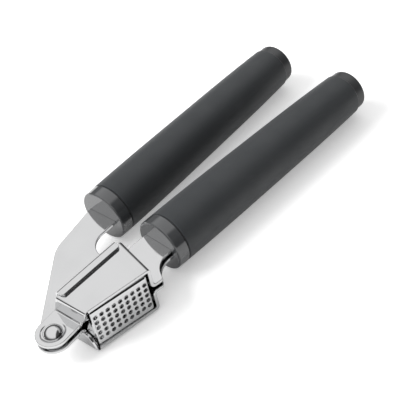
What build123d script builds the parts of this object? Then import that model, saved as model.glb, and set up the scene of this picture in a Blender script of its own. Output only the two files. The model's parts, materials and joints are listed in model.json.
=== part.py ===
from build123d import *
import math
import os

# Garlic press lying on its side.  Two handles turn on one rivet; the basket handle carries a
# perforated hopper and the plunger handle carries a foot that swings into it.
#
# Drawing frame: the pivot axis is Z at the origin, X runs along the basket handle, Y points
# towards the plunger handle and Z = 0 is the middle plane of the press.  The finished pieces
# are moved together so that the origin lies under the middle of the whole object.

# ---------------------------------------------------------------- driving dimensions (mm)
SHEET = 1.6                     # stainless sheet of both arms
PLATE_GAP = 0.15                # air between the arm plate and each shell
EAR_RADIUS = 7.5
NECK_HIGH = 8.45                # the neck's edge on the mouth side
MOUTH_START = 10.6              # where the straight mouth edge begins
RELIEF = (-6.5, 3.9)            # bend relief beside the neck: y and height
ARCH_MIDDLE = (-9.9, 6.6)       # the near wall's front edge half way up: y and height
ARCH_SPAN = (7.9, 3.5)          # where the press tool trims the near wall: x and depth
SLOPE_SPAN = (7.2, MOUTH_START - 7.2)
BOX_HALF_HEIGHT = 12.0          # outer face of the raised box above the middle plane
BOX_BEND = 2.0                  # outer radius at the top of the near and far walls
FOOT_BEND = 0.7                 # concave radius where those walls meet the flat base

NEAR_WALL = (8.9, -0.087)       # outer face of the near wall: x at y = 0, and slope dx/dy
FAR_WALL = (45.0, 0.18)         # the same for the far wall
RIM = (-11.35, -0.125, 10.0)    # front rim of the shells: y at x = 10, and slope dy/dx
MOUTH = (4.9, 0.0455, 10.2)     # mouth edge of the shells: y at x = 10.2, and slope

HOLE_PITCH = 3.0
HOLE_RADIUS = 1.05
HOLE_COLUMNS = 9
HOLE_ROWS = 5
FIRST_HOLE = 2.15               # first column from the hole plate's near corner

TRAY_SHEET = 1.1
TRAY_HALF_HEIGHT = 10.2
TRAY_BEND = 1.9                 # outer radius of the bends above and below the hole plate
TRAY_CORNER = 1.35              # and of those at its near and far ends
TRAY_NEAR = (11.75, -11.35)     # near corner of the hole plate's outer face
TRAY_FAR = (39.7, -15.45)       # far corner
TRAY_FAR_SLOPE = 0.164
CLIP_WIDTH = 4.75               # folded flange that lies on the shell's top
CLIP_GAP = 0.15
CLIP_START, CLIP_END = 10.2, 43.3
NOTCH_HALF = 2.2                # arm slot in the tray's near wall
NOTCH_FLOOR = 1.0

HANDLE_Y = 0.9                  # axis of the basket handle
HANDLE_FRONT = 60.2             # its front face
HANDLE_LENGTH = 130.3
FRONT_RADIUS = 12.45
MIDDLE_RADIUS = 12.0
REAR_RADIUS = 10.6
CAP_LENGTH = 6.0
CAP_FACE_RADIUS = 12.05
GROOVE = 0.4                    # fine groove behind the front cap
END_CAP_LENGTH = 6.0
END_CAP_RADIUS = 10.1
CORE_FRONT, CORE_REAR = 9.9, 8.0
BORE_RADIUS = 5.6
BORE_START = 62.0
SPIGOT_LENGTH = 8.0

TANG_HALF = 8.0                 # half the width of the steel inside a handle
TANG_DEPTH = 46.0
SLOT_GAP = 0.12
PIN_RADIUS = 1.5                # cross pins of the handles
PIN_HALF = 7.6
PIN_PLACES = (18.0, 36.0)       # behind the handle's front face

PLUNGER_FACE = (58.25, 35.5)    # centre of the plunger handle's front face
PLUNGER_TILT = 4.37             # its direction, degrees from X

RIVET_RADIUS = 3.0
RIVET_HEAD = 4.3
RIVET_DOME = 2.3
PLATE_EAR = 5.0                 # the arm plate's eye, smaller than the ears that hide it
RECESS_RADIUS = 5.55            # dish round the rivet's head, and its flat seat
SEAT_RADIUS = 4.8
RECESS_DEPTH = 0.6
RUNNING_FIT = 0.05

CLOSE_ANGLE = 6.0               # degrees from the modelled pose to fully closed
FOOT_RATIO = -0.15              # turn of the foot for each degree of the arm
FOOT_PIN_RADIUS = 1.75
FOOT_PIN = (24.0, -6.0)         # the foot's pin when the press is fully closed
FOOT_SHEET = 1.5
FOOT_GAP = 0.45                 # air between foot and hole plate when fully closed
FOOT_HALF_WIDTH = 8.3
FOOT_START, FOOT_END = 1.95, 26.2   # ends of the foot along the hole plate
FOOT_BEND_RADIUS = 1.5
CHEEK_HEIGHT = 3.2              # the foot's cheeks, and the lobe round their pin
CHEEK_LOBE = 4.4
FOOT_LOBE = 3.3                 # the arm plate's lobe round the same pin
BUSH_RADIUS = 3.0
ARM_HEEL = (-3.4, 5.75)         # where the arm plate's outer edge starts between the ears

# ---------------------------------------------------------------- worked out from those
BASE_LOW = SHEET / 2 + PLATE_GAP
BASE_HIGH = BASE_LOW + SHEET
HEAD_SEAT = BASE_HIGH - RECESS_DEPTH
PLATE_ANGLE = math.degrees(math.atan2(TRAY_FAR[1] - TRAY_NEAR[1], TRAY_FAR[0] - TRAY_NEAR[0]))
PLATE_LENGTH = math.dist(TRAY_NEAR, TRAY_FAR)


def wall_x(wall, y):
    return wall[0] + wall[1] * y


def edge_y(edge, x):
    return edge[0] + edge[1] * (x - edge[2])


def outline(corners):
    """Closed plan outline from (x, y, radius) corners, with every corner rounded."""
    wire = FilletPolyline(
        *[(x, y) for x, y, radius in corners],
        radius=[radius for x, y, radius in corners],
        close=True,
    )
    return make_face(wire)


def slab(face, low, high):
    return Pos(0, 0, low) * extrude(face, amount=high - low)


def turned(point, degrees, about=(0.0, 0.0)):
    """A plan point turned about another."""
    c, s = math.cos(math.radians(degrees)), math.sin(math.radians(degrees))
    dx, dy = point[0] - about[0], point[1] - about[1]
    return (about[0] + c * dx - s * dy, about[1] + s * dx + c * dy)


# ---------------------------------------------------------------- basket arm: the two shells
def under_surface(inset, base, top, top_bend, foot_bend):
    """The solid under a stepped surface: a flat at base with the raised box standing on it."""
    floor_z, low_y, high_y = base - 8, -30, 25
    flat = slab(make_face(Polyline((-12, low_y), (120, low_y), (120, high_y), (-12, high_y),
                                   close=True)), floor_z, base)
    box = slab(make_face(Polyline((wall_x(NEAR_WALL, low_y) + inset, low_y),
                                  (wall_x(FAR_WALL, low_y) - inset, low_y),
                                  (wall_x(FAR_WALL, high_y) - inset, high_y),
                                  (wall_x(NEAR_WALL, high_y) + inset, high_y),
                                  close=True)), floor_z, top)
    body = flat + box

    def long_edges(height):
        return [e for e in body.edges()
                if abs(e.center().Z - height) < 0.01 and e.length > 50
                and 5 < e.center().X < 50]

    body = fillet(long_edges(base), foot_bend)
    return fillet(long_edges(top), top_bend)


def shell_plan():
    """Plan outline of a shell without its round ear."""
    tang_end = HANDLE_FRONT + TANG_DEPTH
    low, high = HANDLE_Y - TANG_HALF, HANDLE_Y + TANG_HALF
    neck = outline([
        (0.0, EAR_RADIUS, 0.0),
        (0.0, -EAR_RADIUS, 0.0),
        (7.8, -6.6, 0.0),
        (9.3, edge_y(RIM, 9.3), 0.4),
        (46.7, edge_y(RIM, 46.7), 1.5),
        (51.5, low, 11.0),
        (tang_end, low, 1.5),
        (tang_end, high, 1.5),
        (50.0, high, 3.0),
        (46.5, edge_y(MOUTH, 46.5), 1.5),
        (MOUTH_START, edge_y(MOUTH, MOUTH_START), 0.0),
        (MOUTH_START, NECK_HIGH, 0.0),
        (7.4, NECK_HIGH, 2.5),
    ])
    return neck + Circle(EAR_RADIUS)


def near_wall_trim():
    """What the press tool cuts off the near wall: an arch from the rim to a relief beside the
    neck on the front side, and a slope from the mouth edge to the neck on the other."""
    rim_y, top = edge_y(RIM, 9.3) + 0.05, BOX_HALF_HEIGHT - 0.7
    neck_y, relief_z = RELIEF
    beyond_y, above_z, slope_top = 14, BOX_HALF_HEIGHT + 2, edge_y(MOUTH, MOUTH_START)
    arch = make_face([
        Line((neck_y, 0), (neck_y, relief_z)),
        Spline((neck_y, relief_z), ARCH_MIDDLE, (rim_y, top), tangents=[(-1, 0.1), (-0.1, 1)]),
        Line((rim_y, top), (-beyond_y, top)),
        Line((-beyond_y, top), (-beyond_y, 0)),
        Line((-beyond_y, 0), (neck_y, 0)),
    ])
    slope = make_face(Polyline((NECK_HIGH, BASE_HIGH), (slope_top, BOX_HALF_HEIGHT),
                               (slope_top, above_z), (beyond_y, above_z),
                               (beyond_y, BASE_HIGH), close=True))
    return (Pos(ARCH_SPAN[0], 0, 0) * extrude(Plane.YZ * arch, amount=ARCH_SPAN[1])
            + Pos(SLOPE_SPAN[0], 0, 0) * extrude(Plane.YZ * slope, amount=SLOPE_SPAN[1]))


def upper_shell():
    outer = under_surface(0, BASE_HIGH, BOX_HALF_HEIGHT, BOX_BEND, FOOT_BEND)
    inner = under_surface(SHEET, BASE_LOW, BOX_HALF_HEIGHT - SHEET, BOX_BEND - SHEET,
                          FOOT_BEND + SHEET)
    shell = (outer - inner) & slab(shell_plan(), 0, BOX_HALF_HEIGHT + 1)
    shell -= near_wall_trim()
    shell -= slab(Circle(RIVET_RADIUS), 0, 5)
    dish = Cone(SEAT_RADIUS, RECESS_RADIUS, RECESS_DEPTH)
    shell -= Pos(0, 0, (HEAD_SEAT + BASE_HIGH) / 2) * dish
    for x, y in tang_pin_places():
        shell -= Pos(x, y, 0) * slab(Circle(PIN_RADIUS), 0, 5)
    return shell


def tang_pin_places():
    return [(HANDLE_FRONT + place, HANDLE_Y) for place in PIN_PLACES]


# ---------------------------------------------------------------- basket arm: the tray
def tray_plan(inset):
    """Plan of the tray, open past the mouth, drawn in by inset."""
    angle = math.radians(PLATE_ANGLE)
    nx, ny = -math.sin(angle) * inset, math.cos(angle) * inset
    near, far = TRAY_NEAR, TRAY_FAR
    slope = (far[1] - near[1]) / (far[0] - near[0])

    def front(x):
        return near[1] + ny - nx * slope + slope * (x - near[0])

    def side(corner, wall_slope, sign):
        """x of a side wall at a given y, and where it meets the hole plate."""
        x0 = corner[0] + sign * inset
        y = corner[1]
        for _ in range(20):
            y = front(x0 + wall_slope * (y - corner[1]))
        return lambda v: x0 + wall_slope * (v - corner[1]), y

    near_wall, near_y = side(near, NEAR_WALL[1], 1)
    far_wall, far_y = side(far, TRAY_FAR_SLOPE, -1)
    top = 20
    return make_face(Polyline((near_wall(near_y), near_y), (far_wall(far_y), far_y),
                              (far_wall(top), top), (near_wall(top), top), close=True))


def tray_block(inset, bend, corner_bend):
    """Solid of the tray's outer or inner surface, its closed end rounded."""
    half = TRAY_HALF_HEIGHT - inset
    block = slab(tray_plan(inset), -half, half)
    front = [e for e in block.edges()
             if abs(abs(e.center().Z) - half) < 0.01 and e.center().Y < -5 and e.length > 20]
    block = fillet(front, bend)
    corners = [e for e in block.edges()
               if abs(e.center().Z) < 0.01 and e.center().Y < -5]
    return fillet(corners, corner_bend)


def mouth_frame():
    """Plane whose X runs along the mouth edge and whose Y points out of the mouth."""
    angle = math.atan(MOUTH[1])
    start_y = edge_y(MOUTH, CLIP_START)
    return Plane(origin=(CLIP_START, start_y, 0),
                 x_dir=(math.cos(angle), math.sin(angle), 0), z_dir=(0, 0, 1))


def clip():
    """U bend round the shell's mouth edge and the flange on top, in the mouth frame."""
    low = TRAY_HALF_HEIGHT - TRAY_SHEET
    high = BOX_HALF_HEIGHT + CLIP_GAP + TRAY_SHEET
    outer = (high - low) / 2
    inner = outer - TRAY_SHEET
    turn = -0.15
    section = Pos(turn, (high + low) / 2) * (Circle(outer) - Circle(inner))
    section &= Pos(turn + outer, (high + low) / 2) * Rectangle(2 * outer, 2 * outer + 1)
    flange = CLIP_WIDTH - outer
    section += Pos(turn - flange / 2, high - TRAY_SHEET / 2) * Rectangle(flange, TRAY_SHEET)
    section += Pos(turn - 1.5, low + TRAY_SHEET / 2) * Rectangle(3.0, TRAY_SHEET)
    length = CLIP_END - CLIP_START
    strip = extrude(Plane.YZ * section, amount=length)
    corners = [e for e in strip.edges()
               if e.center().Y < turn - flange + 0.1 and abs(e.center().Z - high) < 1.2
               and abs(e.length - TRAY_SHEET) < 0.01]
    return fillet(corners, 1.6)


def hopper_insert():
    frame = mouth_frame()
    tray = (tray_block(0, TRAY_BEND, TRAY_CORNER)
            - tray_block(TRAY_SHEET, TRAY_BEND - TRAY_SHEET, TRAY_CORNER - TRAY_SHEET))
    beyond = frame.location * Pos(20, 15 - 1.2, 0) * Box(80, 30, 40)
    tray -= beyond
    upper_clip = frame.location * clip()
    tray = tray + upper_clip + mirror(upper_clip, about=Plane.XY)
    # The arm plate dips through the near wall when the press is closed.
    tray -= Pos(10.8, NOTCH_FLOOR + 10, 0) * Box(4.5, 20, 2 * NOTCH_HALF)
    along = Plane(origin=(*TRAY_NEAR, 0),
                  x_dir=(math.cos(math.radians(PLATE_ANGLE)),
                         math.sin(math.radians(PLATE_ANGLE)), 0), z_dir=(0, 0, 1))
    drill = Rot(90, 0, 0) * Cylinder(HOLE_RADIUS, 6)
    holes = [
        along.location * Pos(FIRST_HOLE + column * HOLE_PITCH, 0,
                             (row - (HOLE_ROWS - 1) / 2) * HOLE_PITCH) * drill
        for column in range(HOLE_COLUMNS)
        for row in range(HOLE_ROWS)
    ]
    return tray - holes


# ---------------------------------------------------------------- pivot
def rivet_head():
    """Domed head standing on z = 0: a short rim and a spherical cap."""
    rim = 0.45
    rise = RECESS_DEPTH + RIVET_DOME - rim
    ball = (RIVET_HEAD ** 2 + rise ** 2) / (2 * rise)
    dome = Pos(0, 0, rim + rise - ball) * Sphere(ball)
    return slab(Circle(RIVET_HEAD), 0, rim + rise) & dome


def pivot_rivet():
    shank_end = -HEAD_SEAT - 1.2
    return Pos(0, 0, HEAD_SEAT) * rivet_head() + slab(Circle(RIVET_RADIUS), shank_end, HEAD_SEAT)


def pivot_rivet_cap():
    head = mirror(Pos(0, 0, HEAD_SEAT) * rivet_head(), about=Plane.XY)
    return head - slab(Circle(RIVET_RADIUS), -HEAD_SEAT - 1.2, 0)


# ---------------------------------------------------------------- handles
def along_x(points_face):
    """Turn a profile drawn as (distance, radius) into a solid of revolution along X."""
    return revolve(points_face, Axis.X)


def slot(width, height, depth):
    return Pos(depth / 2, 0, 0) * Box(depth, width, height)


def front_cap(slot_height):
    profile = make_face([
        Line((0, 0), (0, CAP_FACE_RADIUS - 0.5)),
        ThreePointArc((0, CAP_FACE_RADIUS - 0.5), (0.15, CAP_FACE_RADIUS - 0.1),
                      (0.6, FRONT_RADIUS - 0.12)),
        Line((0.6, FRONT_RADIUS - 0.12), (CAP_LENGTH - 0.3, FRONT_RADIUS)),
        Line((CAP_LENGTH - 0.3, FRONT_RADIUS), (CAP_LENGTH, FRONT_RADIUS - 0.3)),
        Line((CAP_LENGTH, FRONT_RADIUS - 0.3), (CAP_LENGTH, 0)),
        Line((CAP_LENGTH, 0), (0, 0)),
    ])
    return along_x(profile) - slot(2 * (TANG_HALF + SLOT_GAP), slot_height, CAP_LENGTH)


def handle_core(slot_height):
    """Rigid moulded core: flange behind the cap, tapered body, hollow rear."""
    flange = CAP_LENGTH + GROOVE
    end = HANDLE_LENGTH - END_CAP_LENGTH
    profile = make_face(Polyline((CAP_LENGTH, 0), (CAP_LENGTH, FRONT_RADIUS - 0.7),
                                 (flange, FRONT_RADIUS - 0.7), (flange, CORE_FRONT),
                                 (end, CORE_REAR), (end, BORE_RADIUS),
                                 (BORE_START, BORE_RADIUS), (BORE_START, 0), close=True))
    core = along_x(profile)
    core -= slot(2 * (TANG_HALF + SLOT_GAP), slot_height, TANG_DEPTH + 1)
    for place in PIN_PLACES:
        core -= Pos(place, 0, 0) * Cylinder(PIN_RADIUS, 2 * PIN_HALF)
    return core


def grip():
    """Soft sleeve, barrel shaped and slimmer to the rear."""
    start, end = CAP_LENGTH + GROOVE, HANDLE_LENGTH - END_CAP_LENGTH
    length = end - start
    outer = Spline((start + 0.3, FRONT_RADIUS), (start + 0.5 * length, MIDDLE_RADIUS),
                   (end - 0.4, REAR_RADIUS), tangents=[(1, 0.01), (1, -0.045)])
    profile = make_face([
        Line((start, CORE_FRONT), (start, FRONT_RADIUS - 0.3)),
        Line((start, FRONT_RADIUS - 0.3), (start + 0.3, FRONT_RADIUS)),
        outer,
        Line((end - 0.4, REAR_RADIUS), (end, REAR_RADIUS - 0.4)),
        Line((end, REAR_RADIUS - 0.4), (end, CORE_REAR)),
        Line((end, CORE_REAR), (start, CORE_FRONT)),
    ])
    return along_x(profile)


def end_cap():
    start, end, rim = HANDLE_LENGTH - END_CAP_LENGTH, HANDLE_LENGTH, 1.6
    profile = make_face([
        Line((start - SPIGOT_LENGTH, 0), (start - SPIGOT_LENGTH, BORE_RADIUS)),
        Line((start - SPIGOT_LENGTH, BORE_RADIUS), (start, BORE_RADIUS)),
        Line((start, BORE_RADIUS), (start, END_CAP_RADIUS)),
        Line((start, END_CAP_RADIUS), (end - rim, END_CAP_RADIUS - 0.15)),
        ThreePointArc((end - rim, END_CAP_RADIUS - 0.15),
                      (end - rim + rim * math.sin(math.pi / 4),
                       END_CAP_RADIUS - 0.15 - rim * (1 - math.cos(math.pi / 4))),
                      (end, END_CAP_RADIUS - 0.15 - rim)),
        Line((end, END_CAP_RADIUS - 0.15 - rim), (end, 0)),
        Line((end, 0), (start - SPIGOT_LENGTH, 0)),
    ])
    return along_x(profile)


def cross_pins():
    return [Pos(place, 0, 0) * Cylinder(PIN_RADIUS, 2 * PIN_HALF) for place in PIN_PLACES]


def basket_handle():
    return Pos(HANDLE_FRONT, HANDLE_Y, 0)


def plunger_handle():
    return Pos(*PLUNGER_FACE, 0) * Rot(0, 0, PLUNGER_TILT)


def tang_spacer():
    start, length = CAP_LENGTH, TANG_DEPTH - CAP_LENGTH - 2
    spacer = Pos(start + length / 2, 0, 0) * Box(length, 2 * TANG_HALF - 0.4, 2 * BASE_LOW)
    for place in PIN_PLACES:
        spacer -= Pos(place, 0, 0) * Cylinder(PIN_RADIUS, 4)
    return spacer


# ---------------------------------------------------------------- plunger arm and foot
def foot_pin_at_rest():
    return turned(FOOT_PIN, CLOSE_ANGLE)


def arm_plate():
    handle = plunger_handle()
    tilt = math.radians(PLUNGER_TILT)

    def on_tang(distance, side):
        return (PLUNGER_FACE[0] + distance * math.cos(tilt) - side * math.sin(tilt),
                PLUNGER_FACE[1] + distance * math.sin(tilt) + side * math.cos(tilt))

    pin_x, pin_y = foot_pin_at_rest()
    plan = outline([
        (*ARM_HEEL, 1.0),
        (31.5, 37.15, 18.0),
        (*on_tang(-1.5, TANG_HALF), 10.0),
        (*on_tang(TANG_DEPTH, TANG_HALF), 1.5),
        (*on_tang(TANG_DEPTH, -TANG_HALF), 1.5),
        (*on_tang(-0.5, -TANG_HALF), 4.0),
        (41.1, 26.5, 9.6),
        (41.1, 14.0, 6.0),
        (36.5, 4.0, 8.0),
        (pin_x + 3.6, pin_y - 0.5, 1.0),
        (pin_x + 1.2, pin_y - FOOT_LOBE + 0.4, 1.0),
        (pin_x - 2.4, pin_y - 2.0, 1.0),
        (16.5, 4.6, 4.0),
        (5.0, 3.6, 0.0),
        (0.0, 0.0, 0.0),
    ])
    plan = plan + Circle(PLATE_EAR) + Pos(pin_x, pin_y) * Circle(FOOT_LOBE)
    plate = slab(plan, -SHEET / 2, SHEET / 2)
    plate -= Cylinder(RIVET_RADIUS + RUNNING_FIT, 4)
    plate -= Pos(pin_x, pin_y, 0) * Cylinder(FOOT_PIN_RADIUS, 4)
    for place in PIN_PLACES:
        plate -= handle * Pos(place, 0, 0) * Cylinder(PIN_RADIUS, 4)
    return plate


def to_rest(shape):
    """Carry a foot piece from the closed pose to the modelled one."""
    pin = foot_pin_at_rest()
    turn = CLOSE_ANGLE * (1 + FOOT_RATIO)
    return Pos(*pin, 0) * Rot(0, 0, turn) * Pos(-FOOT_PIN[0], -FOOT_PIN[1], 0) * shape


def foot_frame():
    """Plane along the foot's pressing face when the press is fully closed."""
    angle = math.radians(PLATE_ANGLE)
    lift = TRAY_SHEET + FOOT_GAP
    return Plane(origin=(TRAY_NEAR[0] - lift * math.sin(angle),
                         TRAY_NEAR[1] + lift * math.cos(angle), 0),
                 x_dir=(math.cos(angle), math.sin(angle), 0), z_dir=(0, 0, 1))


def plunger_foot():
    """Channel folded from sheet: pressing face and two cheeks with the pin holes."""
    frame = foot_frame()
    pin = frame.to_local_coords(Vector(*FOOT_PIN, 0))
    shoulder, rise = CHEEK_LOBE + 0.2, 2.0
    side = (make_face(Polyline((FOOT_START, 0), (FOOT_END, 0), (FOOT_END, CHEEK_HEIGHT),
                               (pin.X + shoulder, pin.Y + rise), (pin.X - shoulder, pin.Y + rise),
                               (FOOT_START, CHEEK_HEIGHT), close=True))
            + Pos(pin.X, pin.Y) * Circle(CHEEK_LOBE))
    block = slab(side, -FOOT_HALF_WIDTH, FOOT_HALF_WIDTH)
    bends = [e for e in block.edges()
             if e.length > FOOT_END - FOOT_START - 0.1 and abs(e.center().Y) < 0.01]
    corners = [e for e in block.edges()
               if abs(e.center().Z) < 0.01 and e.center().Y < 0.01 and e.length > 10
               and abs(e.center().X - (FOOT_START + FOOT_END) / 2) > 5]
    block = fillet(bends + corners, FOOT_BEND_RADIUS)
    width = 2 * (FOOT_HALF_WIDTH - FOOT_SHEET)
    hollow = Pos((FOOT_START + FOOT_END) / 2, FOOT_SHEET + 10, 0) * Box(60, 20, width)
    foot = block - hollow
    foot -= Pos(pin.X, pin.Y, 0) * Cylinder(FOOT_PIN_RADIUS + RUNNING_FIT, 30)
    return to_rest(frame.location * foot)


def plunger_pin():
    return Pos(*foot_pin_at_rest(), 0) * Cylinder(FOOT_PIN_RADIUS, 2 * FOOT_HALF_WIDTH)


def plunger_bushes():
    inner_face = FOOT_HALF_WIDTH - FOOT_SHEET
    sleeve = Circle(BUSH_RADIUS) - Circle(FOOT_PIN_RADIUS + RUNNING_FIT)
    upper = Pos(*foot_pin_at_rest(), 0) * slab(sleeve, BASE_LOW, inner_face)
    return [upper, mirror(upper, about=Plane.XY)]


# ---------------------------------------------------------------- the whole object
def all_pieces():
    tang_slot = 2 * BASE_HIGH + 0.2
    plate_slot = SHEET + 0.2
    shell = upper_shell()
    pieces = {
        "upper_shell": shell,
        "lower_shell": mirror(shell, about=Plane.XY),
        "hopper_insert": hopper_insert(),
        "pivot_rivet": pivot_rivet(),
        "pivot_rivet_cap": pivot_rivet_cap(),
        "basket_tang_spacer": basket_handle() * tang_spacer(),
        "plunger_arm_plate": arm_plate(),
        "plunger_foot": plunger_foot(),
        "plunger_pin": plunger_pin(),
        "plunger_bushes": plunger_bushes(),
    }
    for arm, place, height in (("basket", basket_handle(), tang_slot),
                               ("plunger", plunger_handle(), plate_slot)):
        pieces[arm + "_front_cap"] = place * front_cap(height)
        pieces[arm + "_handle_core"] = place * handle_core(height)
        pieces[arm + "_grip"] = place * grip()
        pieces[arm + "_end_cap"] = place * end_cap()
        pieces[arm + "_tang_pins"] = [place * pin for pin in cross_pins()]
    return pieces


def solids_of(shape):
    parts = shape if isinstance(shape, list) else [shape]
    return [solid for part in parts for solid in part.solids()]


os.makedirs("parts", exist_ok=True)
press = {name: solids_of(shape) for name, shape in all_pieces().items()}
box = Compound([solid for solids in press.values() for solid in solids]).bounding_box()
shift = (-(box.min.X + box.max.X) / 2, -(box.min.Y + box.max.Y) / 2, -box.min.Z)
print("pivot axis at", [round(v, 3) for v in shift])
print("foot pin at", [round(a + b, 3) for a, b in zip(foot_pin_at_rest(), shift)])
print("size", box.size)
for name, solids in press.items():
    moved = [Pos(*shift) * solid for solid in solids]
    export_step(Compound(moved) if len(moved) > 1 else moved[0], f"parts/{name}.step")
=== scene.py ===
# %% [markdown]
# # Garlic press
# A press of this kind is two arms of bent stainless sheet that turn on one rivet. The sheet is
# tumbled and polished, so it shows the room like a mirror, and its cut edges are a little round.
# The handles are rigid moulded cores under a soft black sleeve, with a glossy ring in front.
# The design arrives as a fixed frame of CAD nodes, and this script gives it its looks.

# %% Load the frame
import math

import bmesh
import bpy
from mathutils import Matrix, Vector
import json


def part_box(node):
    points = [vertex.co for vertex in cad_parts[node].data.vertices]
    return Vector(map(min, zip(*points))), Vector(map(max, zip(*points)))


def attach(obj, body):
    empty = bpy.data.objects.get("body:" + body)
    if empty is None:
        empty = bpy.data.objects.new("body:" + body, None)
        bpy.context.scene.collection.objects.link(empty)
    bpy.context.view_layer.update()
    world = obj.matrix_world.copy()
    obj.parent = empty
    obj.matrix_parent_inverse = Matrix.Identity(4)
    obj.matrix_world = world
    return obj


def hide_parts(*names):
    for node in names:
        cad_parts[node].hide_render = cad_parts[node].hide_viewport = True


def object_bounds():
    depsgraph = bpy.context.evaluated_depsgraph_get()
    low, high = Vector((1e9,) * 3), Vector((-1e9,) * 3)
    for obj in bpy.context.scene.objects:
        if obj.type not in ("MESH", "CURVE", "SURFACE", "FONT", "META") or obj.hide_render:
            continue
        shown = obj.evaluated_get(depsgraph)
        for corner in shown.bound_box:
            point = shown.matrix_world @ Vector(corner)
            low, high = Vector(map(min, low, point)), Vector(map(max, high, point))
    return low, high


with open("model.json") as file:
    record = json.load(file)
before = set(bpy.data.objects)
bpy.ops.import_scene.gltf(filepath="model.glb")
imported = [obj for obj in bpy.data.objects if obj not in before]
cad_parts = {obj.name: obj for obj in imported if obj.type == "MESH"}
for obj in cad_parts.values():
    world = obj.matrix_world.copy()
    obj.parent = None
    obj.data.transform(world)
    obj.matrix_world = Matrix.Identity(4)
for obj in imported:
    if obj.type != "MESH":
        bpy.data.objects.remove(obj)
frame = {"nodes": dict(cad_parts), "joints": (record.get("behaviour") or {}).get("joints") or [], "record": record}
CAD_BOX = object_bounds()
MM = 0.001
record = frame["record"]
bodies = record["behaviour"]["bodies"]
body_of = {node: body for body, nodes in bodies.items() for node in nodes}
slot_of = {row["node"]: row["material_slot"] for row in record["subparts"]}
joints = {joint["name"]: joint for joint in frame["joints"]}
PIVOT = Vector(joints["main_pivot"]["pos_m"])
print("nodes", len(frame["nodes"]), "pivot in mm", [round(v / MM, 2) for v in PIVOT])

# %% [markdown]
# ## Camera
# A catalogue view uses a long lens from far away, because a long lens keeps parallel edges
# nearly parallel. The camera looks down at the hole plate and is rolled a little, so that the
# two handles run from corner to corner.

# %% Camera
LENS = 90.19                    # focal length in mm, which goes with the sensor's width
SENSOR_WIDTH = 36.0
FROM_PIVOT = Vector((-109.607, -254.904, 298.742)) * MM
LOOK = Vector((0.4512, 0.58763, -0.67165)).normalized()
ROLL = math.radians(12.18)

camera_data = bpy.data.cameras.new("camera")
camera_data.lens = LENS
camera_data.sensor_width = SENSOR_WIDTH
camera = bpy.data.objects.new("camera", camera_data)
bpy.context.scene.collection.objects.link(camera)
level = LOOK.to_track_quat("-Z", "Y").to_matrix().to_4x4()
rolled = level @ Matrix.Rotation(-ROLL, 4, "Z")
camera.matrix_world = Matrix.Translation(PIVOT + FROM_PIVOT) @ rolled
bpy.context.scene.camera = camera
bpy.context.scene.view_settings.view_transform = "Standard"
print("camera", [round(v, 3) for v in camera.matrix_world.translation])

# %% [markdown]
# ## Studio
# Polished metal has no colour of its own: it shows what is around it. So the room matters as
# much as the metal. It is white overhead, dark in a band near the horizon, and dark at the
# front right. The dark parts draw the thin lines along the rounded edges, as the gaps between
# a studio's white panels do.

# %% Node helper
def add_node(tree, kind, values=None, **settings):
    """A new node with its settings, and with values for its input sockets."""
    node = tree.nodes.new(kind)
    for name, value in settings.items():
        setattr(node, name, value)
    for socket, value in (values or {}).items():
        node.inputs[socket].default_value = value
    return node


# %% Room
# Each pair is a place from 0 to 1 and the light there: from straight down to straight up, and
# from straight away from the front right to straight towards it.
HEIGHTS = [(0.0, 0.8), (0.5, 0.10), (0.68, 0.14), (0.78, 0.95), (0.84, 1.0), (1.0, 1.0)]
FRONT_RIGHT = Vector((0.62, -0.78, 0.0))
SIDES = [(0.0, 1.0), (0.73, 1.0), (0.80, 0.08), (1.0, 0.08)]


def light_ramp(tree, source, stops):
    """A ramp from a value between 0 and 1 to a grey."""
    ramp = add_node(tree, "ShaderNodeValToRGB")
    for place, light in stops[1:-1]:
        ramp.color_ramp.elements.new(place)
    for element, (place, light) in zip(ramp.color_ramp.elements, stops):
        element.position = place
        element.color = (light, light, light, 1)
    tree.links.new(source, ramp.inputs["Fac"])
    return ramp.outputs["Color"]


def share(tree, source):
    """A value between -1 and 1 brought to the range 0 to 1."""
    span = add_node(tree, "ShaderNodeMapRange", {"From Min": -1.0, "From Max": 1.0})
    tree.links.new(source, span.inputs["Value"])
    return span.outputs["Result"]


world = bpy.data.worlds.new("studio")
world.use_nodes = True
bpy.context.scene.world = world
room = world.node_tree
direction = add_node(room, "ShaderNodeTexCoord").outputs["Generated"]
split = add_node(room, "ShaderNodeSeparateXYZ")
room.links.new(direction, split.inputs[0])
towards = add_node(room, "ShaderNodeVectorMath", operation="DOT_PRODUCT")
towards.inputs[1].default_value = FRONT_RIGHT.normalized()
room.links.new(direction, towards.inputs[0])
by_height = light_ramp(room, share(room, split.outputs["Z"]), HEIGHTS)
by_side = light_ramp(room, share(room, towards.outputs["Value"]), SIDES)
product = add_node(room, "ShaderNodeMix", data_type="RGBA", blend_type="MULTIPLY")
product.inputs["Factor"].default_value = 1.0
room.links.new(by_height, product.inputs["A"])
room.links.new(by_side, product.inputs["B"])
room.links.new(product.outputs["Result"], room.nodes["Background"].inputs["Color"])
room.nodes["Background"].inputs["Strength"].default_value = 1.0
print("room nodes", len(room.nodes))

# %% [markdown]
# ### Floor
# The press lies on white paper that runs out of sight. The paper is matt, so it takes a soft
# shadow. A little light of its own, which only the camera sees, keeps it white all round
# without lighting the steel from below.

# %% Floor
FLOOR_HALF = 4.0
FLOOR_GAP = 0.05 * MM
PAPER = (0.88, 0.88, 0.88)
PAPER_ROUGH = 0.9
PAPER_LIFT = 0.36               # extra white where the camera sees the paper

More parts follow.
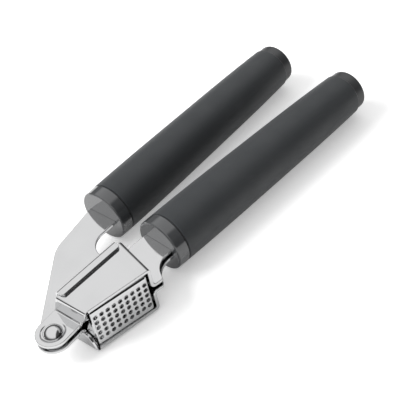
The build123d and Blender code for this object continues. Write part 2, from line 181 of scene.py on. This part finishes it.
corners = [(x * FLOOR_HALF, y * FLOOR_HALF, 0) for x, y in ((-1, -1), (1, -1), (1, 1), (-1, 1))]
floor_mesh = bpy.data.meshes.new("floor")
floor_mesh.from_pydata(corners, [], [(0, 1, 2, 3)])
floor = bpy.data.objects.new("floor", floor_mesh)
bpy.context.scene.collection.objects.link(floor)
floor.location.z = CAD_BOX[0].z - FLOOR_GAP
paper = bpy.data.materials.new("paper")
paper.use_nodes = True
paper_shader = paper.node_tree.nodes["Principled BSDF"]
paper_shader.inputs["Base Color"].default_value = (*PAPER, 1)
paper_shader.inputs["Roughness"].default_value = PAPER_ROUGH
paper_shader.inputs["Specular IOR Level"].default_value = 0.0
paper_shader.inputs["Emission Color"].default_value = (1, 1, 1, 1)
seen = add_node(paper.node_tree, "ShaderNodeLightPath")
lift = add_node(paper.node_tree, "ShaderNodeMath", {1: PAPER_LIFT}, operation="MULTIPLY")
paper.node_tree.links.new(seen.outputs["Is Camera Ray"], lift.inputs[0])
paper.node_tree.links.new(lift.outputs[0], paper_shader.inputs["Emission Strength"])
floor_mesh.materials.append(paper)
print("floor at", round(floor.location.z, 5))

# %% [markdown]
# ### Lamp
# One wide lamp stands high behind the press on the left, so the shadows are soft and fall to
# the right. Polished steel would show the lamp itself as a hard white patch, so reflections
# leave it out.

# %% Lamp
KEY_PLACE = Vector((-0.75, 0.55, 0.95))
KEY_SIZE = 0.7
KEY_POWER = 15.5


def lamp(name, place, size, power):
    """A square soft light that points at the middle of the press, left out of reflections."""
    data = bpy.data.lights.new(name, "AREA")
    data.size = size
    data.energy = power
    light = bpy.data.objects.new(name, data)
    bpy.context.scene.collection.objects.link(light)
    light.visible_glossy = False
    facing = (-place).to_track_quat("-Z", "Y").to_matrix().to_4x4()
    light.matrix_world = Matrix.Translation(place) @ facing


lamp("key", KEY_PLACE, KEY_SIZE, KEY_POWER)

# %% [markdown]
# ## Finishes
# Three small effects are shared by the finishes, so each is a node group: a fine grain that
# never repeats, long hair-line scratches, and the broad smudges that handling leaves. A group
# gives out masks only. The shader itself, with its fixed numbers, stays in each material.

# %% Shared effects
USUAL_SCALE = 500.0             # of a group's noise, until a material gives its own


def effect_group(name, inputs, outputs):
    """An empty shader group with float inputs and outputs."""
    group = bpy.data.node_groups.new(name, "ShaderNodeTree")
    for label, value in inputs.items():
        socket = group.interface.new_socket(label, in_out="INPUT", socket_type="NodeSocketFloat")
        socket.default_value = value
    for label in outputs:
        group.interface.new_socket(label, in_out="OUTPUT", socket_type="NodeSocketFloat")
    return group, group.nodes.new("NodeGroupInput"), group.nodes.new("NodeGroupOutput")


def noise_effect(name, stretch, detail, low, high):
    """Noise on the object's own coordinates, cut to the range low to high and given as a mask."""
    group, entry, result = effect_group(name, {"Scale": USUAL_SCALE}, ["Mask"])
    place = add_node(group, "ShaderNodeTexCoord")
    scale = add_node(group, "ShaderNodeMapping")
    scale.inputs["Scale"].default_value = stretch
    noise = add_node(group, "ShaderNodeTexNoise", {"Detail": detail})
    limits = add_node(group, "ShaderNodeMapRange", {"From Min": low, "From Max": high})
    group.links.new(place.outputs["Object"], scale.inputs["Vector"])
    group.links.new(scale.outputs["Vector"], noise.inputs["Vector"])
    group.links.new(entry.outputs["Scale"], noise.inputs["Scale"])
    group.links.new(noise.outputs["Fac"], limits.inputs["Value"])
    group.links.new(limits.outputs["Result"], result.inputs["Mask"])
    return group


EVEN = (1, 1, 1)
ALONG_X = (1, 28, 28)           # squeezed across, so that the marks run along the press
GRAIN = noise_effect("fine grain", EVEN, detail=2.0, low=0.35, high=0.65)
HAIRLINES = noise_effect("hair lines", ALONG_X, detail=3.0, low=0.52, high=0.74)
SMUDGES = noise_effect("smudges", EVEN, detail=4.0, low=0.4, high=0.68)
print("effects", [g.name for g in (GRAIN, HAIRLINES, SMUDGES)])

# %% [markdown]
# ### Helpers for a material
# Every finish starts from the same shader. Masks from the effects then vary its roughness and
# its colour a little, and a fine grain goes to its normal, so no surface is one flat value.

# %% Material helpers
def finish_of(name, base, rough, metal, **fixed):
    """A Principled material, with its shader's constants set on the shader's own sockets."""
    material = bpy.data.materials.new(name)
    material.use_nodes = True
    tree = material.node_tree
    shader = tree.nodes["Principled BSDF"]
    shader.inputs["Base Color"].default_value = (*base, 1)
    shader.inputs["Roughness"].default_value = rough
    shader.inputs["Metallic"].default_value = metal
    for label, value in fixed.items():
        shader.inputs[label.replace("_", " ")].default_value = value
    return material, tree, shader


def mask(tree, group, scale):
    """One placed effect group, and its mask output."""
    node = add_node(tree, "ShaderNodeGroup", node_tree=group)
    node.inputs["Scale"].default_value = scale
    return node.outputs["Mask"]


def vary(tree, source, low, high):
    """A value that runs from low to high with a mask."""
    span = add_node(tree, "ShaderNodeMapRange", {"To Min": low, "To Max": high})
    tree.links.new(source, span.inputs["Value"])
    return span.outputs["Result"]


def both(tree, first, second):
    """The sum of two values."""
    total = add_node(tree, "ShaderNodeMath", operation="ADD")
    tree.links.new(first, total.inputs[0])
    tree.links.new(second, total.inputs[1])
    return total.outputs[0]


def tint(tree, source, dark, light):
    """A colour that runs from dark to light with a mask."""
    blend = add_node(tree, "ShaderNodeMix", data_type="RGBA")
    blend.inputs["A"].default_value = (*dark, 1)
    blend.inputs["B"].default_value = (*light, 1)
    tree.links.new(source, blend.inputs["Factor"])
    return blend.outputs["Result"]


def bump(tree, scale, depth, strength):
    """A fine grain that feeds the shader's normal."""
    node = add_node(tree, "ShaderNodeBump", {"Distance": depth, "Strength": strength})
    tree.links.new(mask(tree, GRAIN, scale), node.inputs["Height"])
    tree.links.new(node.outputs["Normal"], tree.nodes["Principled BSDF"].inputs["Normal"])


# %% [markdown]
# ### Steel
# The arms are mirror polished: the roughness is low, and only smudges and hair lines raise it
# a little. The pins and bushes inside are turned and left plain, so they are duller.

# %% Steel
LINE_SCALE, LINE_ROUGH = 260.0, 0.10
PRINT_SCALE = 90.0
SHADE_SCALE, SHADE = 60.0, 0.965
STEEL_GRAIN = {"scale": 900.0, "depth": 0.002 * MM, "strength": 0.15}


def steel(name, base, rough, dull):
    """A bare metal whose roughness runs from rough to dull, with hair lines on top."""
    material, tree, shader = finish_of(name, base, rough, 1.0)
    lines = vary(tree, mask(tree, HAIRLINES, LINE_SCALE), 0.0, LINE_ROUGH)
    prints = vary(tree, mask(tree, SMUDGES, PRINT_SCALE), rough, dull)
    tree.links.new(both(tree, lines, prints), shader.inputs["Roughness"])
    handled = tuple(SHADE * channel for channel in base)
    shade = tint(tree, mask(tree, SMUDGES, SHADE_SCALE), base, handled)
    tree.links.new(shade, shader.inputs["Base Color"])
    bump(tree, **STEEL_GRAIN)
    return material


polished = steel("mirror polish", (0.685, 0.687, 0.692), rough=0.045, dull=0.085)
plain = steel("turned steel", (0.56, 0.56, 0.565), rough=0.22, dull=0.34)
print("steel", polished.name, plain.name)

# %% [markdown]
# ### Handle plastics
# The sleeve is soft to the touch: very fine grain, a wide sheen and no sharp reflections. The
# front ring is a lighter grey and glossy, the end cap is between the two, and the core that
# the sleeve hides is plain black moulding.

# %% Handle plastics
COLOUR_SCALE = 45.0
WEAR_SCALE = 120.0
GRAIN_STRENGTH = 0.5


def moulding(name, dark, light, rough, dull, grain, depth, **fixed):
    """A plastic between two near colours and two near roughnesses, with a grain depth deep."""
    material, tree, shader = finish_of(name, dark, rough, 0.0, **fixed)
    colour = tint(tree, mask(tree, SMUDGES, COLOUR_SCALE), dark, light)
    tree.links.new(colour, shader.inputs["Base Color"])
    worn = vary(tree, mask(tree, SMUDGES, WEAR_SCALE), rough, dull)
    tree.links.new(worn, shader.inputs["Roughness"])
    bump(tree, grain, depth, GRAIN_STRENGTH)
    return material


soft = moulding("soft sleeve", (0.026, 0.029, 0.032), (0.031, 0.034, 0.037), rough=0.52, dull=0.60,
                grain=2600.0, depth=0.012 * MM, Sheen_Weight=0.25, Sheen_Roughness=0.45)
gloss = moulding("glossy ring", (0.055, 0.057, 0.06), (0.06, 0.062, 0.065), rough=0.09, dull=0.14,
                 grain=1500.0, depth=0.001 * MM, Coat_Weight=1.0, Coat_Roughness=0.03)
satin = moulding("satin cap", (0.044, 0.045, 0.047), (0.049, 0.050, 0.052), rough=0.30, dull=0.38,
                 grain=2000.0, depth=0.006 * MM)
core = moulding("moulded core", (0.012, 0.012, 0.013), (0.015, 0.015, 0.016), rough=0.5, dull=0.6,
                grain=1500.0, depth=0.006 * MM)
FINISHES = {"polished_steel": polished, "plain_steel": plain, "soft_grip": soft,
            "collar_gloss": gloss, "end_satin": satin, "handle_core": core}
print("finishes", sorted(FINISHES))

# %% [markdown]
# ## Give every node its finish
# The nodes whose shape is already right keep it, and only take their material.

# %% Finish the nodes
for name, node in frame["nodes"].items():
    for material_slot in node.material_slots:
        material_slot.material = FINISHES[slot_of[name]]
    if not node.material_slots:
        node.data.materials.append(FINISHES[slot_of[name]])
print("finished", len(frame["nodes"]))

# %% [markdown]
# ## Sheet parts with rounded edges
# Tumbling takes the sharpness off cut sheet, and the round edge is what catches the light. A
# copy of each sheet part has its loose triangles joined and its flats made whole faces again.
# Then a bevel rounds what is sharp, and weighted normals keep the flats flat in reflections.

# %% Rounded copies
WELD_WITHIN = 0.002 * MM
FLAT_LIMIT = math.radians(2.0)
SHARP_LIMIT = math.radians(32)
EDGE_STEPS = 3
STALE_NORMALS = ("custom_normal", "sharp_edge", "sharp_face")


def rounded_copy(name, radius):
    """A copy of a CAD node with rounded edges, which stands for the node."""
    source = frame["nodes"][name]
    mesh = bpy.data.meshes.new(name + "_rounded")
    work = bmesh.new()
    work.from_mesh(source.data)
    bmesh.ops.remove_doubles(work, verts=work.verts, dist=WELD_WITHIN)
    bmesh.ops.dissolve_limit(work, angle_limit=FLAT_LIMIT, verts=work.verts, edges=work.edges)
    for face in work.faces:
        face.smooth = True
    work.to_mesh(mesh)
    work.free()
    for extra in STALE_NORMALS:
        if extra in mesh.attributes:
            mesh.attributes.remove(mesh.attributes[extra])
    mesh.materials.clear()
    mesh.materials.append(FINISHES[slot_of[name]])
    piece = bpy.data.objects.new(name + "_rounded", mesh)
    bpy.context.scene.collection.objects.link(piece)
    bevel = piece.modifiers.new("rounded edges", "BEVEL")
    bevel.width = radius
    bevel.segments = EDGE_STEPS
    bevel.limit_method = "ANGLE"
    bevel.angle_limit = SHARP_LIMIT
    bevel.use_clamp_overlap = False
    shading = piece.modifiers.new("flat flats", "WEIGHTED_NORMAL")
    shading.mode = "FACE_AREA"
    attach(piece, body_of[name])
    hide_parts(name)
    print(piece.name, len(mesh.polygons), "faces before rounding")


EDGE_RADII = {"upper_shell": 0.32 * MM, "lower_shell": 0.32 * MM, "plunger_arm_plate": 0.32 * MM,
              "plunger_foot": 0.25 * MM, "hopper_insert": 0.16 * MM}
for name, radius in EDGE_RADII.items():
    rounded_copy(name, radius)

# %% [markdown]
# ## Lips of the perforations
# Garlic is pressed through 45 punched holes, and a punch leaves a tiny raised lip round each.
# The same lip repeats on a grid, so Geometry Nodes make it: one ring, placed on every point of
# a grid as wide as the holes are apart, and turned to lie on the slanted hole plate.

# %% Tree of the lips
HOLE_PITCH = 3.0 * MM
HOLE_RADIUS = 1.05 * MM
HOLE_GRID = (9, 5)
FIRST_HOLE = 2.15 * MM          # from the plate's near end to the middles of the first holes
ROUND_STEPS = 24
SECTION_STEPS = 6
PLATE_NEAR = PIVOT + Vector((11.75, -11.35, 0.0)) * MM
PLATE_FAR = PIVOT + Vector((39.7, -15.45, 0.0)) * MM


def geometry_tree(name, inputs):
    """An empty Geometry Nodes tree whose inputs have names, kinds and starting values."""
    tree = bpy.data.node_groups.new(name, "GeometryNodeTree")
    tree.interface.new_socket("Geometry", in_out="OUTPUT", socket_type="NodeSocketGeometry")
    for label, (kind, value) in inputs.items():
        socket = tree.interface.new_socket(label, in_out="INPUT", socket_type=kind)
        if value is not None:
            socket.default_value = value
    return tree, tree.nodes.new("NodeGroupInput"), tree.nodes.new("NodeGroupOutput")


def lip_tree():
    """A ring of round section on every point of a grid, laid on the hole plate."""
    tree, entry, result = geometry_tree("perforation lips", {
        "Columns": ("NodeSocketInt", HOLE_GRID[0]), "Rows": ("NodeSocketInt", HOLE_GRID[1]),
        "Length": ("NodeSocketFloat", 0.0), "Width": ("NodeSocketFloat", 0.0),
        "Hole Radius": ("NodeSocketFloat", 0.0), "Lip Radius": ("NodeSocketFloat", 0.0),
        "Place": ("NodeSocketVector", None), "Turn": ("NodeSocketVector", None),
        "Material": ("NodeSocketMaterial", None)})
    grid = tree.nodes.new("GeometryNodeMeshGrid")
    round_hole = add_node(tree, "GeometryNodeCurvePrimitiveCircle", {"Resolution": ROUND_STEPS})
    section = add_node(tree, "GeometryNodeCurvePrimitiveCircle", {"Resolution": SECTION_STEPS})
    ring = tree.nodes.new("GeometryNodeCurveToMesh")
    spread = tree.nodes.new("GeometryNodeInstanceOnPoints")
    real = tree.nodes.new("GeometryNodeRealizeInstances")
    laid = tree.nodes.new("GeometryNodeTransform")
    coat = tree.nodes.new("GeometryNodeSetMaterial")
    for start, label, end, socket in (
            (entry, "Length", grid, "Size X"), (entry, "Width", grid, "Size Y"),
            (entry, "Columns", grid, "Vertices X"), (entry, "Rows", grid, "Vertices Y"),
            (entry, "Hole Radius", round_hole, "Radius"), (entry, "Lip Radius", section, "Radius"),
            (round_hole, "Curve", ring, "Curve"), (section, "Curve", ring, "Profile Curve"),
            (grid, "Mesh", spread, "Points"), (ring, "Mesh", spread, "Instance"),
            (spread, "Instances", real, "Geometry"), (real, "Geometry", laid, "Geometry"),
            (entry, "Place", laid, "Translation"), (entry, "Turn", laid, "Rotation"),
            (laid, "Geometry", coat, "Geometry"), (entry, "Material", coat, "Material"),
            (coat, "Geometry", result, "Geometry")):
        tree.links.new(start.outputs[label], end.inputs[socket])
    return tree


# %% [markdown]
# ### Growing the lips
# A tree works on an object, so an empty mesh carries it for a moment. What it makes is copied
# to a plain mesh and the carrier is removed, because a model that leaves Blender is plain mesh.

# %% Grow the lips
def grown(name, tree, values):
    """The plain mesh piece that a Geometry Nodes tree makes from the given inputs."""
    seed = bpy.data.objects.new(name + "_seed", bpy.data.meshes.new(name + "_seed"))
    bpy.context.scene.collection.objects.link(seed)
    modifier = seed.modifiers.new(name, "NODES")
    modifier.node_group = tree
    sockets = {item.name: item.identifier for item in tree.interface.items_tree
               if item.in_out == "INPUT"}
    for label, value in values.items():
        modifier[sockets[label]] = value
    result = seed.evaluated_get(bpy.context.evaluated_depsgraph_get())
    mesh = bpy.data.meshes.new_from_object(result)
    bpy.data.objects.remove(seed)
    piece = bpy.data.objects.new(name, mesh)
    bpy.context.scene.collection.objects.link(piece)
    for face in mesh.polygons:
        face.use_smooth = True
    return piece


LIP_RADIUS = 0.11 * MM
along = (PLATE_FAR - PLATE_NEAR).normalized()
grid_length, grid_width = (HOLE_PITCH * (count - 1) for count in HOLE_GRID)
middle_hole = PLATE_NEAR + along * (FIRST_HOLE + grid_length / 2)
lips = grown("perforation_lips", lip_tree(), {
    "Columns": HOLE_GRID[0], "Rows": HOLE_GRID[1], "Length": grid_length, "Width": grid_width,
    "Hole Radius": HOLE_RADIUS + LIP_RADIUS / 2, "Lip Radius": LIP_RADIUS,
    "Place": tuple(middle_hole), "Turn": (math.pi / 2, 0.0, math.atan2(along.y, along.x)),
    "Material": FINISHES["polished_steel"]})
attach(lips, body_of["hopper_insert"])
print("lips", len(lips.data.polygons), "faces")

# %% [markdown]
# ## Sleeves
# Each handle has a soft sleeve, a little barrel shaped and slimmer to the rear. It is round all
# the way, so a profile is spun about the handle's axis. The axis comes from the two cross pins
# that hold the handle to its steel tang: the line through them is the middle of the handle.

# %% Axis of a handle
PIN_RADIUS = 1.5 * MM
FIRST_PIN = 18.0 * MM           # from the front face of the handle


def handle_frame(arm):
    """Matrix whose X runs along a handle, with its origin in the middle of the front face."""
    low, high = (Vector(corner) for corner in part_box(arm + "_tang_pins"))
    inset = Vector((PIN_RADIUS, PIN_RADIUS, 0.0))
    first, last = low + inset, high - inset
    first.z = last.z = (low.z + high.z) / 2
    axis = (last - first).normalized()
    turn = Matrix.Rotation(math.atan2(axis.y, axis.x), 4, "Z")
    return Matrix.Translation(first - axis * FIRST_PIN) @ turn


for arm in ("basket", "plunger"):
    print(arm, "handle starts at", [round(v / MM, 2) for v in handle_frame(arm).translation])


# %% [markdown]
# ### Profile of a sleeve
# The barrel is two Bezier curves that meet in the middle with one slope, so the eye sees no
# join. Both ends are rounded over, and the bore fits the hidden core.

# %% Profile of a sleeve
SLEEVE_ENDS = (6.4 * MM, 124.3 * MM)
SLEEVE_RADII = (12.45 * MM, 12.0 * MM, 10.6 * MM)
SLEEVE_SLOPES = (0.01, -0.0149, -0.045)
CORE_RADII = (9.9 * MM, 8.0 * MM)
ROUNDING = 0.45 * MM
ROUNDING_ANGLES = [math.radians(degrees) for degrees in (18, 36, 54, 72, 90)]
CURVE_STEPS = 24


def bezier_points(start, lead, follow, end, steps):
    """Points along one cubic Bezier curve."""
    points = []
    for i in range(steps + 1):
        t = i / steps
        point = (start * (1 - t) ** 3 + lead * 3 * t * (1 - t) ** 2
                 + follow * 3 * t * t * (1 - t) + end * t ** 3)
        points.append((point.x, point.y))
    return points


def sleeve_profile():
    """Closed profile of (distance, radius): rounded front, barrel, rounded rear and bore."""
    start, end = SLEEVE_ENDS
    places = (start + ROUNDING, (start + end) / 2, end - ROUNDING)
    barrel = []
    for i in range(2):
        near = Vector((places[i], SLEEVE_RADII[i]))
        far = Vector((places[i + 1], SLEEVE_RADII[i + 1]))
        span = (far.x - near.x) / 3
        lead = near + span * Vector((1, SLEEVE_SLOPES[i]))
        follow = far - span * Vector((1, SLEEVE_SLOPES[i + 1]))
        points = bezier_points(near, lead, follow, far, CURVE_STEPS)
        barrel += points if i == 0 else points[1:]
    turns = [(ROUNDING * (1 - math.sin(angle)), ROUNDING * (1 - math.cos(angle)))
             for angle in ROUNDING_ANGLES]
    front = [(start + back, SLEEVE_RADII[0] - down) for back, down in reversed(turns)]
    rear = [(end - back, SLEEVE_RADII[2] - down) for back, down in turns]
    return [(start, CORE_RADII[0])] + front + barrel + rear + [(end, CORE_RADII[1])]


# %% Spin the sleeves
AROUND = 112                    # faces in one turn


def spun(name, profile, place):
    """A closed ring of profile points spun about X, then carried to its place."""
    mesh = bpy.data.meshes.new(name)
    work = bmesh.new()
    angles = [2 * math.pi * i / AROUND for i in range(AROUND)]
    rings = []
    for distance, radius in profile:
        circle = [Vector((distance, radius * math.cos(a), radius * math.sin(a))) for a in angles]
        rings.append([work.verts.new(place @ point) for point in circle])
    for one, other in zip(rings, rings[1:] + rings[:1]):
        for i in range(AROUND):
            j = (i + 1) % AROUND
            work.faces.new((one[i], one[j], other[j], other[i])).smooth = True
    bmesh.ops.recalc_face_normals(work, faces=work.faces)
    work.to_mesh(mesh)
    work.free()
    piece = bpy.data.objects.new(name, mesh)
    bpy.context.scene.collection.objects.link(piece)
    return piece


for arm in ("basket", "plunger"):
    node = arm + "_grip"
    sleeve = spun(arm + "_sleeve", sleeve_profile(), handle_frame(arm))
    sleeve.data.materials.append(FINISHES[slot_of[node]])
    sleeve.modifiers.new("flat ends", "WEIGHTED_NORMAL")
    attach(sleeve, body_of[node])
    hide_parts(node)
    print(sleeve.name, len(sleeve.data.polygons), "faces")
